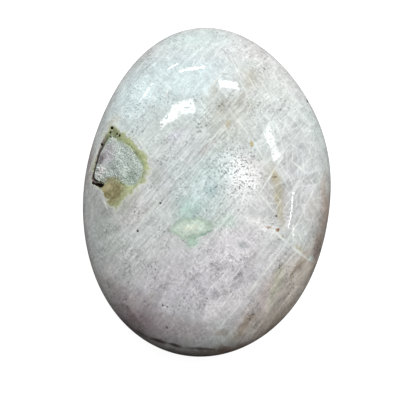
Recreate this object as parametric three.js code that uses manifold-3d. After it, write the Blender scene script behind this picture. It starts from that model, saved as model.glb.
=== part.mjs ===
// A polished palm stone: a flattened egg with a small flat to rest on, and in its upper left
// an unpolished pit, lined with a crust of fine crystals that is a piece of its own.
// Millimetres. X is the width, Y the length with the narrow end at +Y, Z is up, and the
// origin is the middle of the resting flat. Plan points are X and Y as seen from above,
// and a drop is a distance straight down from the polished surface.
import * as THREE from "three";
import { mergeVertices } from "three/addons/utils/BufferGeometryUtils.js";
import Module from "manifold-3d";

const wasm = await Module();
wasm.setup();

// The egg: half sizes about its girdle, and how full its section is (2 is an ellipse)
const HALF_WIDTH = 23.8;
const HALF_LENGTH = 32.85;
const CROWN_HEIGHT = 10.5;
const BELLY_DEPTH = 10.75;
const FULLNESS = 2.15;
const FLAT_DROP = 0.25;
const GIRDLE_Z = BELLY_DEPTH - FLAT_DROP;
const EGG_CENTRE = { x: -0.12, y: -0.49 };
const SPHERE_DETAIL = 14;
// How the plan departs from an ellipse: each wave goes round it so many times
const PLAN_WAVES = [
  { turns: 2, height: 0.0233, peakDeg: 60 },
  { turns: 3, height: 0.0132, peakDeg: -52 },
  { turns: 4, height: 0.0036, peakDeg: 86 },
  { turns: 5, height: 0.0056, peakDeg: 117 },
];
// Shallow swells and hollows left by grinding by hand, as shares of the crown's height
const GRINDING_WAVES = [
  { height: 0.008, alongDeg: 25, length: 31, startDeg: 34 },
  { height: 0.006, alongDeg: 110, length: 23, startDeg: 120 },
  { height: 0.004, alongDeg: 65, length: 15, startDeg: 229 },
];

// The pit: stations clockwise from its upper tip, each with the rim at the polished surface,
// the foot of the wall, and the drop to the foot. The wall is a narrow slope on the right, a
// long ramp below, and a steep bank on the left.
const PIT_STATIONS = [
  { rim: [-18.5, 11.6], foot: [-18.2, 9.0], drop: 1.5 },
  { rim: [-16.7, 10.1], foot: [-17.0, 8.3], drop: 1.5 },
  { rim: [-15.3, 9.1], foot: [-15.7, 7.4], drop: 1.5 },
  { rim: [-14.0, 7.8], foot: [-14.5, 6.3], drop: 1.4 },
  { rim: [-13.0, 6.2], foot: [-13.6, 5.1], drop: 1.4 },
  { rim: [-12.0, 4.8], foot: [-12.8, 4.0], drop: 1.4 },
  { rim: [-10.9, 3.1], foot: [-12.2, 2.8], drop: 1.4 },
  { rim: [-11.5, 1.2], foot: [-12.5, 1.4], drop: 1.4 },
  { rim: [-12.5, -0.5], foot: [-13.2, 0.2], drop: 1.4 },
  { rim: [-13.7, -1.7], foot: [-14.3, -0.7], drop: 1.4 },
  { rim: [-15.1, -2.7], foot: [-15.5, -0.2], drop: 1.3 },
  { rim: [-16.4, -4.1], foot: [-16.6, 0.7], drop: 1.2 },
  { rim: [-17.8, -5.1], foot: [-17.6, 1.1], drop: 1.2 },
  { rim: [-18.7, -3.6], foot: [-18.5, 1.2], drop: 1.3 },
  { rim: [-19.9, -1.4], foot: [-19.6, 1.0], drop: 1.6 },
  { rim: [-21.2, -0.1], foot: [-20.8, 0.9], drop: 2.2 },
  { rim: [-22.2, 0.9], foot: [-21.7, 1.5], drop: 2.5 },
  { rim: [-21.8, 2.9], foot: [-21.5, 3.0], drop: 2.5 },
  { rim: [-21.2, 5.2], foot: [-20.9, 5.1], drop: 2.5 },
  { rim: [-20.4, 7.9], foot: [-20.1, 7.2], drop: 2.3 },
  { rim: [-19.5, 10.0], foot: [-19.2, 8.5], drop: 1.9 },
];
const PIT_MIDDLE = { x: -17.2, y: 4.2, drop: 2.2 };
const PIT_STEPS = 63;
const WALL_SHARES = [0, 0.25, 0.6, 1];
const CUT_ABOVE = 2;
// The dark hole in the pit's lower left corner
const HOLE = { x: -20.7, y: 0.3, radius: 0.8, drop: 3.4, sides: 9 };

// The crust of crystals: the space left round it, and the drop to what the crystals stand on
const GAP = 0.3;
const CRUST_TOP = { edge: 1.2, middle: 1.05 };
// The crystals: six-sided points, each leaning its own way, in rows that are well shaken
const CRYSTAL = { sides: 6, radius: [0.66, 0.88], height: [0.95, 1.4], root: 0.47, leanDeg: 20 };
const CRYSTAL_SPACING = 0.77;
const CRYSTAL_SHAKE = 0.24;
const CRYSTAL_SEED = 7;

const STONE_COLOUR = 0xc9d3cf;
const STONE_ROUGHNESS = 0.16;
const CRUST_COLOUR = 0xb4c8bd;
const CRUST_ROUGHNESS = 0.42;

const { degToRad, lerp } = THREE.MathUtils;

// How much wider or narrower than an ellipse the plan is in this direction, as a factor
function planFactor(angle) {
  let factor = 1;
  for (const { turns, height, peakDeg } of PLAN_WAVES) {
    factor += height * Math.cos(turns * angle - degToRad(peakDeg));
  }
  return factor;
}

// How much higher or lower grinding has left the crown over a plan point, as a factor
function grindingFactor(x, y) {
  let factor = 1;
  for (const { height, alongDeg, length, startDeg } of GRINDING_WAVES) {
    const along = degToRad(alongDeg);
    const distance = x * Math.cos(along) + y * Math.sin(along);
    factor += height * Math.sin((2 * Math.PI * distance) / length + degToRad(startDeg));
  }
  return factor;
}

// The height of the polished crown over a plan point
function crownZ(x, y) {
  const dx = x - EGG_CENTRE.x;
  const dy = y - EGG_CENTRE.y;
  const angle = Math.atan2(dy / HALF_LENGTH, dx / HALF_WIDTH);
  const reach = Math.hypot(dx / HALF_WIDTH, dy / HALF_LENGTH) / planFactor(angleInPlan(angle));
  const section = Math.pow(Math.max(0, 1 - Math.pow(reach, FULLNESS)), 1 / FULLNESS);
  return GIRDLE_Z + CROWN_HEIGHT * section * grindingFactor(x, y);
}

// The direction in plan of a direction on the unit circle that the ellipse is stretched from
function angleInPlan(angle) {
  return Math.atan2(Math.sin(angle) * HALF_LENGTH, Math.cos(angle) * HALF_WIDTH);
}

// The point at a drop below the polished crown
function belowCrown(x, y, drop) {
  return new THREE.Vector3(x, y, crownZ(x, y) - drop);
}

// The way the polished crown faces over a plan point
function crownNormal(x, y) {
  const step = 0.5;
  const slopeX = (crownZ(x + step, y) - crownZ(x - step, y)) / (2 * step);
  const slopeY = (crownZ(x, y + step) - crownZ(x, y - step)) / (2 * step);
  return new THREE.Vector3(-slopeX, -slopeY, 1).normalize();
}

// The turn that stands a piece made along +Z on the crown over a plan point
function standingOnCrown(x, y) {
  return new THREE.Quaternion().setFromUnitVectors(new THREE.Vector3(0, 0, 1), crownNormal(x, y));
}

// A closed geometry as a solid that can be joined and cut
function solidOf(geometry) {
  const bare = geometry.clone();
  bare.deleteAttribute("normal");
  bare.deleteAttribute("uv");
  const merged = mergeVertices(bare);
  return new wasm.Manifold(
    new wasm.Mesh({
      numProp: 3,
      vertProperties: merged.attributes.position.array,
      triVerts: new Uint32Array(merged.index.array),
    }),
  );
}

// A solid as a named mesh with its own material
function meshOf(name, solid, color, roughness) {
  const { vertProperties, triVerts } = solid.getMesh();
  const geometry = new THREE.BufferGeometry();
  geometry.setAttribute("position", new THREE.BufferAttribute(vertProperties, 3));
  geometry.setIndex(new THREE.BufferAttribute(triVerts, 1));
  const material = new THREE.MeshStandardMaterial({ color, roughness, metalness: 0 });
  const mesh = new THREE.Mesh(geometry, material);
  mesh.name = name;
  return mesh;
}

// The solid between rings of points, the first uppermost, each ring clockwise from above
function loft(rings, top, bottom) {
  const size = rings[0].length;
  const points = [...rings.flat(), top, bottom];
  const topIndex = points.length - 2;
  const bottomIndex = points.length - 1;
  const lastRing = (rings.length - 1) * size;
  const faces = [];
  for (let i = 0; i < size; i++) {
    const next = (i + 1) % size;
    faces.push(topIndex, next, i);
    faces.push(bottomIndex, lastRing + i, lastRing + next);
    for (let ring = 0; ring < lastRing; ring += size) {
      faces.push(ring + i, ring + next, ring + size + i);
      faces.push(ring + next, ring + size + next, ring + size + i);
    }
  }
  const geometry = new THREE.BufferGeometry().setFromPoints(points);
  geometry.setIndex(faces);
  return solidOf(geometry);
}

// A ring round the pit's wall, which is steepest at the rim: share 0 is the rim and 1 the
// foot. The ring is drawn in by `inset` and lifted by `lift`.
function wallRing(share, inset = 0, lift = 0) {
  const dropShare = Math.sin((share * Math.PI) / 2);
  const stations = PIT_STATIONS.map(
    ({ rim, foot, drop }) =>
      new THREE.Vector3(
        lerp(rim[0], foot[0], share),
        lerp(rim[1], foot[1], share),
        drop * dropShare,
      ),
  );
  const curve = new THREE.CatmullRomCurve3(stations, true);
  return Array.from({ length: PIT_STEPS }, (_, i) => {
    const { x, y, z: drop } = curve.getPoint(i / PIT_STEPS);
    const inward = new THREE.Vector2(PIT_MIDDLE.x - x, PIT_MIDDLE.y - y).setLength(inset);
    return belowCrown(x + inward.x, y + inward.y, drop - lift);
  });
}

// The pit's own space, drawn in from its wall and floor by `inset`
function pitSpace(inset) {
  const { x, y, drop } = PIT_MIDDLE;
  const wall = WALL_SHARES.map((share) => wallRing(share, inset, inset * share));
  return loft(
    [wallRing(0, inset, CUT_ABOVE), ...wall],
    belowCrown(x, y, -CUT_ABOVE),
    belowCrown(x, y, drop - inset),
  );
}

function makeEgg() {
  const geometry = new THREE.IcosahedronGeometry(1, SPHERE_DETAIL);
  const position = geometry.getAttribute("position");
  const direction = new THREE.Vector3();
  for (let i = 0; i < position.count; i++) {
    direction.fromBufferAttribute(position, i);
    const across = Math.hypot(direction.x, direction.y);
    const sum = Math.pow(across, FULLNESS) + Math.pow(Math.abs(direction.z), FULLNESS);
    direction.multiplyScalar(Math.pow(sum, -1 / FULLNESS));
    const factor = planFactor(angleInPlan(Math.atan2(direction.y, direction.x)));
    const x = EGG_CENTRE.x + direction.x * HALF_WIDTH * factor;
    const y = EGG_CENTRE.y + direction.y * HALF_LENGTH * factor;
    const height = direction.z > 0 ? CROWN_HEIGHT * grindingFactor(x, y) : BELLY_DEPTH;
    position.setXYZ(i, x, y, GIRDLE_Z + direction.z * height);
  }
  return solidOf(geometry);
}

// A block that reaches up to the resting flat
function makeBlockBelow() {
  const size = 3 * HALF_LENGTH;
  return solidOf(new THREE.BoxGeometry(size, size, size).translate(0, 0, -size / 2));
}

function makeHole() {
  const { x, y, radius, drop, sides } = HOLE;
  const depth = drop + CUT_ABOVE;
  const cone = new THREE.ConeGeometry(radius * (depth / drop), depth, sides);
  cone.rotateX(-Math.PI / 2);
  const middle = belowCrown(x, y, drop - depth / 2);
  return solidOf(cone.translate(middle.x, middle.y, middle.z));
}

// Repeatable random numbers from 0 to 1
function randomFrom(seed) {
  let state = seed;
  return () => {
    state = (state * 1664525 + 1013904223) % 2 ** 32;
    return state / 2 ** 32;
  };
}

// One crystal rooted below the crust's top over a plan point
function makeCrystal(x, y, random) {
  const radius = lerp(...CRYSTAL.radius, random());
  const height = lerp(...CRYSTAL.height, random());
  const lean = degToRad(CRYSTAL.leanDeg) * random();
  const point = new THREE.ConeGeometry(radius, height, CRYSTAL.sides).translate(0, height / 2, 0);
  point.rotateX(Math.PI / 2).rotateZ(2 * Math.PI * random());
  point.rotateX(lean).rotateZ(2 * Math.PI * random());
  point.applyQuaternion(standingOnCrown(x, y));
  const root = belowCrown(x, y, CRUST_TOP.middle + CRYSTAL.root);
  return solidOf(point.translate(root.x, root.y, root.z));
}

// Plan points all over the pit, in shaken rows
function crystalSpots(random) {
  const feet = PIT_STATIONS.map(({ foot }) => foot);
  const xs = feet.map(([x]) => x);
  const ys = feet.map(([, y]) => y);
  const spots = [];
  for (let y = Math.min(...ys); y <= Math.max(...ys); y += CRYSTAL_SPACING) {
    for (let x = Math.min(...xs); x <= Math.max(...xs); x += CRYSTAL_SPACING) {
      const spot = [x, y].map((value) => value + (2 * random() - 1) * CRYSTAL_SHAKE);
      if (isInside(feet, spot)) spots.push(spot);
    }
  }
  return spots;
}

// Whether a plan point lies inside a closed outline of plan points
function isInside(outline, [x, y]) {
  let inside = false;
  outline.forEach(([ax, ay], i) => {
    const [bx, by] = outline[(i + 1) % outline.length];
    const crosses = ay > y !== by > y && x < ax + ((y - ay) / (by - ay)) * (bx - ax);
    if (crosses) inside = !inside;
  });
  return inside;
}

function makeStone() {
  return makeEgg()
    .subtract(makeBlockBelow())
    .subtract(pitSpace(0))
    .subtract(makeHole());
}

// All that lies lower than the top of the crust's bed, out past the pit's wall
function makeBed() {
  const { x, y } = PIT_MIDDLE;
  const { edge, middle } = CRUST_TOP;
  const deep = 2 * PIT_MIDDLE.drop;
  const ringAt = (share, drop) =>
    wallRing(0, -GAP).map((point) =>
      belowCrown(lerp(point.x, x, share), lerp(point.y, y, share), drop),
    );
  return loft(
    [ringAt(0.5, lerp(edge, middle, 0.5)), ringAt(0, edge), ringAt(0, deep)],
    belowCrown(x, y, middle),
    belowCrown(x, y, deep),
  );
}

function makeCrust() {
  const random = randomFrom(CRYSTAL_SEED);
  let crust = makeBed();
  for (const [x, y] of crystalSpots(random)) {
    crust = crust.add(makeCrystal(x, y, random));
  }
  return crust.intersect(pitSpace(GAP)).subtract(makeHole());
}

const palmStone = new THREE.Group();
palmStone.add(meshOf("stone", makeStone(), STONE_COLOUR, STONE_ROUGHNESS));
palmStone.add(meshOf("druzy_crust", makeCrust(), CRUST_COLOUR, CRUST_ROUGHNESS));

export default palmStone;
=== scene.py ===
from math import atan2, cos, degrees, hypot, pi, radians, sin
from typing import NamedTuple

import bpy
import numpy as np
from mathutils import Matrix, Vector


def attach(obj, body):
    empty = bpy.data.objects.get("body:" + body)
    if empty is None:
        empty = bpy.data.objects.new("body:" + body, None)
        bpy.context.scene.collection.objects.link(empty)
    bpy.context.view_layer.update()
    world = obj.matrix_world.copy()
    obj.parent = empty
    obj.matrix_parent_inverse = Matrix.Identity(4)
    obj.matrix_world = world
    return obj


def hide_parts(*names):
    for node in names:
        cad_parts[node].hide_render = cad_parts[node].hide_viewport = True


MM = 0.001

# The egg, as the solid has it: half sizes about its girdle, and the fullness of its section
HALF_WIDTH = 23.8
HALF_LENGTH = 32.85
CROWN_HEIGHT = 10.5
BELLY_DEPTH = 10.75
FULLNESS = 2.15
FLAT_DROP = 0.25
GIRDLE_Z = BELLY_DEPTH - FLAT_DROP
EGG_CENTRE = (-0.12, -0.49)
# The rippled surface is this share of the solid's size, which keeps it in the solid's box
INSET = 0.998
# Turns round the plan, height as a share, and the direction of the peak in degrees
PLAN_WAVES = ((2, 0.0233, 60), (3, 0.0132, -52), (4, 0.0036, 86), (5, 0.0056, 117))
# Height as a share of the crown's, direction in degrees, length, and start in degrees
GRINDING_WAVES = ((0.008, 25, 31, 34), (0.006, 110, 23, 120), (0.0015, 65, 15, 229))
POLISHING_WAVES = ((0.0006, 15, 6.1, 0), (0.0005, 80, 4.7, 70), (0.0005, 140, 5.3, 200))

# The pit, as the solid has it: rim, foot of the wall, and drop to the foot, clockwise
PIT_STATIONS = (
    ((-18.5, 11.6), (-18.2, 9.0), 1.5),
    ((-16.7, 10.1), (-17.0, 8.3), 1.5),
    ((-15.3, 9.1), (-15.7, 7.4), 1.5),
    ((-14.0, 7.8), (-14.5, 6.3), 1.4),
    ((-13.0, 6.2), (-13.6, 5.1), 1.4),
    ((-12.0, 4.8), (-12.8, 4.0), 1.4),
    ((-10.9, 3.1), (-12.2, 2.8), 1.4),
    ((-11.5, 1.2), (-12.5, 1.4), 1.4),
    ((-12.5, -0.5), (-13.2, 0.2), 1.4),
    ((-13.7, -1.7), (-14.3, -0.7), 1.4),
    ((-15.1, -2.7), (-15.5, -0.2), 1.3),
    ((-16.4, -4.1), (-16.6, 0.7), 1.2),
    ((-17.8, -5.1), (-17.6, 1.1), 1.2),
    ((-18.7, -3.6), (-18.5, 1.2), 1.3),
    ((-19.9, -1.4), (-19.6, 1.0), 1.6),
    ((-21.2, -0.1), (-20.8, 0.9), 2.2),
    ((-22.2, 0.9), (-21.7, 1.5), 2.5),
    ((-21.8, 2.9), (-21.5, 3.0), 2.5),
    ((-21.2, 5.2), (-20.9, 5.1), 2.5),
    ((-20.4, 7.9), (-20.1, 7.2), 2.3),
    ((-19.5, 10.0), (-19.2, 8.5), 1.9),
)
PIT_MIDDLE = (-17.2, 4.2)
PIT_FLOOR_DROP = 2.2
RIM_ROUNDING = 0.3
PIT_LUMPS = 0.09
# The rim's raggedness: height, turns round the pit, and start in radians
RIM_RAGS = ((0.07, 9, 1), (0.05, 23, 0), (0.04, 41, 2))
# Banks that go down less than this are gentle near the rim, fully so after a further fade
LOW_BANK_DROP = 1.7
LOW_BANK_FADE = 0.25
LOW_BANK_POWER = 1.8

# Holes and pinholes: plan point, radius and depth
HOLES = (
    (-20.35, 0.1, 0.75, 3.2),
    (-21.0, 0.35, 0.6, 2.8),
    (-21.7, 0.6, 0.5, 1.6),
    (-18.3, 11.1, 0.34, 1.2),
    (-18.6, 10.3, 0.26, 1.4),
    (-18.6, 9.4, 0.3, 2.2),
    (-17.7, 9.3, 0.28, 2.1),
    (-16.8, 9.4, 0.26, 1.8),
    (-17.3, 9.8, 0.22, 1.7),
    (-18.0, 8.7, 0.24, 2.4),
    (-20.2, 8.1, 0.3, 2),
    (-20.0, 7.3, 0.24, 2.6),
    (-20.5, 6.8, 0.26, 2.4),
    (-8.8, -4.4, 0.2, 0.25),
    (-13.1, -9.5, 0.22, 0.25),
    (-8.4, -23.3, 0.22, 0.3),
    (-7.9, -23.6, 0.18, 0.25),
    (-7.7, -27.3, 0.2, 0.25),
    (-0.4, 12.5, 0.2, 0.16),
    (-0.1, 12.2, 0.2, 0.18),
    (0.1, 11.9, 0.18, 0.14),
    (19.8, 17.2, 0.5, 0.6),
    (-4.6, -11.6, 0.2, 0.2),
    (5.7, 1.7, 0.2, 0.18),
)

# The mesh: how often the whole sphere's faces are split in four, and again near detail
SPHERE_SPLITS = 6
DETAIL_SPLITS = 2
DETAIL_MARGIN = 0.7

# The crust of crystals, with leans in degrees
CRUST_DROP = 0.98
CRUST_DEPTH = 0.6
CREVICE_WIDTH = 0.12
CRUST_SPREAD = 0.3
CRUST_SPRINKLE = 0.8
CRYSTAL_SPACING = 0.17
CRYSTAL_RADIUS = (0.09, 0.21)
CRYSTAL_HEIGHT = (0.06, 0.22)
CRYSTAL_ROOT = 0.15
CRYSTAL_LEAN = 36
CRYSTAL_SIDES = 6
CRYSTAL_POINTS = 2 * CRYSTAL_SIDES + 2
CRUST_X = (-22.5, -11)
CRUST_Y = (-2, 11)
# The white lumps at its lower left
LUMP_COUNT = 26
LUMP_MIDDLE = (-20.5, 2.5)
LUMP_SPREAD = (0.4, 0.8)
LUMP_RADIUS = (0.22, 0.42)
LUMP_HEIGHT = (0.35, 0.65)
LUMP_LEAN = 50
SEED = 11

# The camera: where it looks, from how high and how far, and through which lens
CAMERA_TARGET = (-1.36, -2.02, GIRDLE_Z)
CAMERA_ELEVATION = 80
CAMERA_DISTANCE = 324
CAMERA_LENS = 150
FLOOR_SIZE = 4000
# The floor as the stone mirrors it, on the camera's side and on the far side, and as it is seen
FLOOR_NEAR = (0.1, 0.09, 0.085, 1)
FLOOR_FAR = (0.4, 0.4, 0.4, 1)
FLOOR_GLOW = 0.88


class Lamp(NamedTuple):
    """A lit rectangle far off: its bearing from +Y towards +X, its elevation, its size and its
    turn in degrees as seen from the stone, and its brightness."""

    name: str
    bearing: float
    elevation: float
    width: float
    height: float
    turn: float
    brightness: float


LAMP_DISTANCE = 900
LAMPS = (
    Lamp("window_left", -21.2, 59.2, 11.5, 5.2, -14, 10),
    Lamp("window_left_far", -37, 58.5, 10, 4, -14, 9),
    Lamp("window_top", 19, 48.8, 10, 4.2, 20, 13),
    Lamp("strip_top", -9.8, 41.1, 14, 1.2, -9, 15),
    Lamp("strip_far", -22.3, 32.7, 6, 1.2, -19, 16),
    Lamp("strip_corner", -41.4, 32.2, 6.6, 1.2, 9, 12),
    Lamp("window_right", 51.5, 50.8, 10.5, 5.4, -15, 7.5),
    Lamp("strip_right", 88, 43.8, 8.6, 1.2, -18, 14),
    Lamp("strip_low", 94.3, 38.9, 4.8, 1, 60, 8),
    Lamp("bounce_board", 50, 71, 17, 7, 30, 10.5),
)

# The soft light all round: where it is brightest, how bright it is there and on the far side
WORLD_BEARING = 20
WORLD_ELEVATION = 42
WORLD_DARK_AT = 0
WORLD_BRIGHT_AT = 1
WORLD_DARK = 0.1
WORLD_BRIGHT = 1.43


# Shape


def waves_factor(waves, x, y):
    """How much higher or lower shallow waves make the crown over a plan point."""
    factor = 1
    for height, along, length, start in waves:
        distance = x * cos(radians(along)) + y * sin(radians(along))
        factor = factor + height * np.sin(2 * pi * distance / length + radians(start))
    return factor


def plan_factor(angle):
    """How much wider or narrower than an ellipse the plan is in this direction."""
    return 1 + sum(h * np.cos(turns * angle - radians(peak)) for turns, h, peak in PLAN_WAVES)


def crown_z(x, y):
    """The height of the polished crown over a plan point."""
    dx, dy = x - EGG_CENTRE[0], y - EGG_CENTRE[1]
    reach = np.hypot(dx / HALF_WIDTH, dy / HALF_LENGTH) / plan_factor(np.arctan2(dy, dx))
    section = np.maximum(0, 1 - reach**FULLNESS) ** (1 / FULLNESS)
    return GIRDLE_Z + CROWN_HEIGHT * section * waves_factor(GRINDING_WAVES, x, y)


def crown_normal(x, y, step=0.05):
    """The way the polished crown faces over plan points."""
    slope_x = (crown_z(x + step, y) - crown_z(x - step, y)) / (2 * step)
    slope_y = (crown_z(x, y + step) - crown_z(x, y - step)) / (2 * step)
    normal = np.column_stack([-slope_x, -slope_y, np.ones(len(x))])
    return normal / np.linalg.norm(normal, axis=1)[:, None]


def egg_points(directions):
    """The egg's surface along each direction from its centre, before any hole is made."""
    x, y, z = directions.T
    reach = INSET * (np.hypot(x, y) ** FULLNESS + np.abs(z) ** FULLNESS) ** (-1 / FULLNESS)
    dx, dy = reach * x * HALF_WIDTH, reach * y * HALF_LENGTH
    factor = plan_factor(np.arctan2(dy, dx))
    px, py = EGG_CENTRE[0] + dx * factor, EGG_CENTRE[1] + dy * factor
    ground = waves_factor(GRINDING_WAVES, px, py) * waves_factor(POLISHING_WAVES, px, py)
    pz = GIRDLE_Z + reach * z * np.where(z > 0, CROWN_HEIGHT * ground, BELLY_DEPTH)
    return np.column_stack([px, py, np.maximum(pz, 0)])


def around_pit(places, values, blur):
    """A function of direction from the pit's middle that follows the values at plan points,
    with its corners rounded over some degrees."""
    dx, dy = (np.array(places) - PIT_MIDDLE).T
    degree = radians(1)
    angles = np.arange(360) * degree
    table = np.interp(angles, np.arctan2(dy, dx), values, period=2 * pi)
    turns = np.arange(-180, 180)
    weights = np.exp(-0.5 * (turns / blur) ** 2)
    table = sum(np.roll(table, turn) * weight for turn, weight in zip(turns, weights)) / weights.sum()
    return lambda angle: np.interp(angle, angles, table, period=2 * pi)


RIMS, FEET, DROPS = zip(*PIT_STATIONS)
rim_reach = around_pit(RIMS, [hypot(x - PIT_MIDDLE[0], y - PIT_MIDDLE[1]) for x, y in RIMS], 1.5)
foot_reach = around_pit(FEET, [hypot(x - PIT_MIDDLE[0], y - PIT_MIDDLE[1]) for x, y in FEET], 5)
foot_drop = around_pit(FEET, DROPS, 6)


def pit_place(x, y):
    """Where plan points are in the pit: the distance in from the rim, the share of the wall
    that they are down, and their distance and direction from the pit's middle."""
    dx, dy = x - PIT_MIDDLE[0], y - PIT_MIDDLE[1]
    angle, distance = np.arctan2(dy, dx), np.hypot(dx, dy)
    ragged = sum(height * np.sin(turns * angle + start) for height, turns, start in RIM_RAGS)
    rim = rim_reach(angle) + ragged
    share = np.clip((rim - distance) / (rim - foot_reach(angle)), 0, 1)
    return rim - distance, share, distance, angle


def pit_drop(x, y):
    """How far the stone goes down below the crown at plan points, and how much of that is a
    hole's."""
    _, share, distance, angle = pit_place(x, y)
    rounded = share**2 * (1 + RIM_ROUNDING) / (share + RIM_ROUNDING)
    inner = np.clip(1 - distance / foot_reach(angle), 0, 1)
    gentle = np.clip((LOW_BANK_DROP - foot_drop(angle)) / LOW_BANK_FADE, 0, 1)
    profile = np.sin(rounded * pi / 2) * (1 - gentle) + share**LOW_BANK_POWER * gentle
    lumps = np.sin(2.3 * x + 1.1 * y) * np.sin(1.7 * y - 0.8 * x + 1)
    lumps = lumps + 0.5 * np.sin(4.9 * x - 2 * y) * np.sin(5.3 * y + x)
    drop = foot_drop(angle) * profile * (1 + PIT_LUMPS * lumps)
    drop = np.where(share >= 1, drop + (PIT_FLOOR_DROP - drop) * inner, drop)
    hole = np.zeros(len(x))
    for hole_x, hole_y, radius, depth in HOLES:
        away = np.hypot(x - hole_x, y - hole_y) / radius
        hole = np.maximum(hole, depth * np.clip(1 - away**2, 0, 1))
    return np.maximum(drop, hole), np.maximum(hole - drop, 0)


# Mesh


def icosphere(splits):
    """The corners and faces of a sphere of radius 1 made from an icosahedron."""
    t = (1 + 5**0.5) / 2
    corners = [(-1, t, 0), (1, t, 0), (-1, -t, 0), (1, -t, 0), (0, -1, t), (0, 1, t)]
    corners += [(0, -1, -t), (0, 1, -t), (t, 0, -1), (t, 0, 1), (-t, 0, -1), (-t, 0, 1)]
    faces = [(0, 11, 5), (0, 5, 1), (0, 1, 7), (0, 7, 10), (0, 10, 11), (1, 5, 9), (5, 11, 4)]
    faces += [(11, 10, 2), (10, 7, 6), (7, 1, 8), (3, 9, 4), (3, 4, 2), (3, 2, 6), (3, 6, 8)]
    faces += [(3, 8, 9), (4, 9, 5), (2, 4, 11), (6, 2, 10), (8, 6, 7), (9, 8, 1)]
    vertices = np.array(corners) / np.hypot(1, t)
    faces = np.array(faces)
    for _ in range(splits):
        vertices, faces = split_faces(vertices, faces, np.ones(len(faces), bool))
    return vertices, faces


def split_faces(vertices, faces, chosen):
    """Splits each chosen face in four, and its neighbours so that no gap is left."""
    ends = np.sort(faces[:, [[0, 1], [1, 2], [2, 0]]], axis=2)
    keys = ends[..., 0] * len(vertices) + ends[..., 1]
    split_keys = np.unique(keys[chosen])
    halfway = vertices[split_keys // len(vertices)] + vertices[split_keys % len(vertices)]
    halfway /= np.linalg.norm(halfway, axis=1)[:, None]
    found = np.minimum(np.searchsorted(split_keys, keys), len(split_keys) - 1)
    is_split = split_keys[found] == keys
    middle = len(vertices) + found
    pieces = [faces[~is_split.any(axis=1)]]
    # Which sides of a face are split, and the corner that it is turned to start from
    cases = {(1, 0, 0): 0, (0, 1, 0): 1, (0, 0, 1): 2, (1, 1, 0): 0, (0, 1, 1): 1, (1, 0, 1): 2}
    cases[1, 1, 1] = 0
    for flags, start in cases.items():
        rows = (is_split == np.array(flags, bool)).all(axis=1)
        count = sum(flags)
        turn = [(start + i) % 3 for i in range(3)]
        a, b, c = faces[rows][:, turn].T
        ab, bc, ca = middle[rows][:, turn].T
        if count == 1:
            triangles = [(a, ab, c), (ab, b, c)]
        elif count == 2:
            triangles = [(ab, b, bc), (a, ab, c), (ab, bc, c)]
        else:
            triangles = [(a, ab, ca), (ab, b, bc), (ca, bc, c), (ab, bc, ca)]
        pieces += [np.column_stack(triangle) for triangle in triangles]
    return np.vstack([vertices, halfway]), np.vstack(pieces)


def near_detail(points):
    """Which points of the crown are in or near the pit, or near a hole."""
    x, y, z = points.T
    outside = -pit_place(x, y)[0]
    near = outside < DETAIL_MARGIN
    for hole_x, hole_y, radius, _ in HOLES:
        near |= np.hypot(x - hole_x, y - hole_y) < radius + DETAIL_MARGIN / 2
    return near & (z > GIRDLE_Z)


def mesh_piece(name, points, faces, smooth):
    """A piece of the scene from points in millimetres."""
    mesh = bpy.data.meshes.new(name)
    mesh.from_pydata((points * MM).tolist(), [], faces.tolist())
    mesh.polygons.foreach_set("use_smooth", np.full(len(faces), smooth))
    mesh.update()
    piece = bpy.data.objects.new(name, mesh)
    bpy.context.collection.objects.link(piece)
    return piece


def add_measure(piece, name, values):
    """Keeps a number for each of a piece's points, for its material to read."""
    piece.data.attributes.new(name, "FLOAT", "POINT").data.foreach_set("value", values)


def make_stone():
    """The polished stone with its pit and holes."""
    directions, faces = icosphere(SPHERE_SPLITS)
    for _ in range(DETAIL_SPLITS):
        centres = egg_points(directions[faces].mean(axis=1))
        directions, faces = split_faces(directions, faces, near_detail(centres))
    points = egg_points(directions)
    x, y, z = points.T
    upper = z > GIRDLE_Z
    inside_rim, share, _, _ = pit_place(x, y)
    drop, hole = np.where(upper, pit_drop(x, y), 0)
    points[:, 2] -= drop
    stone = mesh_piece("polished_stone", points, faces, smooth=True)
    add_measure(stone, "wall", np.where(upper, share, 0))
    add_measure(stone, "inside_rim", np.where(upper, inside_rim, -50))
    add_measure(stone, "hole", hole)
    return stone


# Crystals


def crust_reach(angle):
    """How far the crust goes from the pit's middle: up the wall where that is low, and with a
    crevice left along the steep bank."""
    steep = np.clip((foot_drop(angle) - LOW_BANK_DROP) / 0.4, 0, 1)
    return foot_reach(angle) + 0.1 + (1 - steep) * CRUST_SPREAD - steep * CREVICE_WIDTH


def crust_drop(x, y):
    """The drop to the lumpy bed that the crystals stand on, which dips to the amber ramp."""
    lumps = 0.12 * np.sin(2.1 * x + 0.7 * y) + 0.12 * np.sin(1.3 * y - 0.9 * x + 2)
    dip = 0.32 * np.exp(-((x + 18.2) ** 2 + (y - 0.7) ** 2) / 2)
    return CRUST_DROP + lumps + dip + 0.07 * np.sin(4.3 * x) * np.sin(3.9 * y)


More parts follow.
